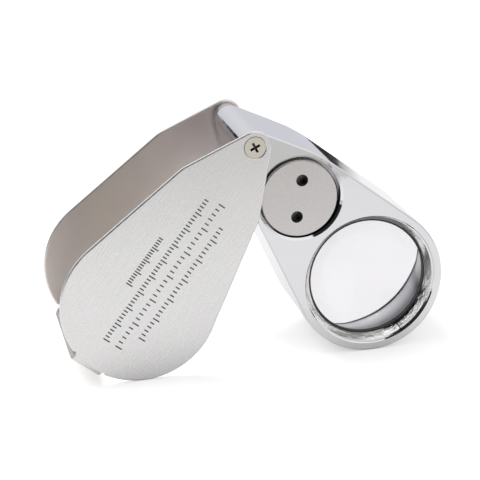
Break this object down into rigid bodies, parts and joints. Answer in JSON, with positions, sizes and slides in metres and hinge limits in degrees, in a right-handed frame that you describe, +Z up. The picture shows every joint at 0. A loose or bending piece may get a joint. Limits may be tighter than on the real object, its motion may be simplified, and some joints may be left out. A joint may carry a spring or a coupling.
{
  "type": "folding lighted loupe",
  "caption": "Folding pocket loupe: chromed lens body with battery bay and lights, swinging on a pivot out of a folded steel sheet cover, standing like a tent.",
  "frame": {"origin": "on the ground under the middle of the open loupe's box", "axes": "+Z up, +Y from the front plate to the rear plate along the pivot, +X toward the lens end; the loupe stands open like a tent"},
  "size_m": [0.0812, 0.0286, 0.0506],
  "materials": {
    "cover_sheet": "satin",
    "pivot_metal": "machined",
    "screw_nickel": "machined",
    "washer_bronze": "satin",
    "spring_steel": "satin",
    "body_chrome": "polished",
    "ring_chrome": "polished",
    "lens_glass": "polished",
    "spacer_aluminium": "satin",
    "cup_plastic": "matte",
    "cell_steel": "satin",
    "contact_brass": "satin",
    "cap_steel": "satin",
    "board": "matte",
    "led_clear": "gloss",
    "led_tinted": "gloss",
    "tinned_lead": "satin",
    "resistor_body": "matte",
    "switch_moulding": "matte",
    "switch_can": "satin",
    "disc_steel": "satin"
  },
  "bodies": {
    "cover": {"cover_shell": "cover_sheet", "pivot_sleeve": "pivot_metal", "pivot_screw_front": "screw_nickel", "pivot_screw_rear": "screw_nickel", "friction_washer": "washer_bronze", "pivot_spacer": "spring_steel", "cup_spring": "spring_steel"},
    "loupe": {"loupe_body": "body_chrome", "retaining_ring": "ring_chrome", "front_lens": "lens_glass", "lens_spacer": "spacer_aluminium", "rear_lens": "lens_glass", "object_hood": "body_chrome", "battery_cup": "cup_plastic", "cell_front": "cell_steel", "cell_middle": "cell_steel", "cell_rear": "cell_steel", "contact_spring": "contact_brass", "contact_rivet": "contact_brass", "circuit_board": "board", "led_white": "led_clear", "led_violet": "led_tinted", "led_leads": "tinned_lead", "resistor": "resistor_body", "switch_base": "switch_moulding", "switch_shell": "switch_can", "rear_disc": "disc_steel", "rear_disc_screws": "screw_nickel"},
    "cap_carrier": {"cap_contact": "contact_brass"},
    "cap": {"battery_cap": "cap_steel"},
    "slider": {"switch_slider": "switch_moulding", "switch_wiper": "contact_brass"}
  },
  "joints": [
    {"name": "loupe_swing", "type": "hinge", "parent": "cover", "child": "loupe", "pos_m": [0.00094, 0, 0.04725], "axis": [0, 1, 0], "continuous": true},
    {"name": "cap_travel", "type": "slide", "parent": "loupe", "child": "cap_carrier", "axis": [0, -1, 0], "range_m": [0, 0.00075]},
    {"name": "cap_turn", "type": "hinge", "parent": "cap_carrier", "child": "cap", "pos_m": [0.01021, 0, 0.03507], "axis": [0, -1, 0], "range_deg": [0, 360]},
    {"name": "light_switch", "type": "slide", "parent": "loupe", "child": "slider", "axis": [0.7959, 0, 0.6054], "range_m": [-0.002, 0.002]}
  ],
  "couplings": [
    {"joint": "cap_turn", "follows": "cap_travel", "rad_per_m": 8377.5}
  ]
}
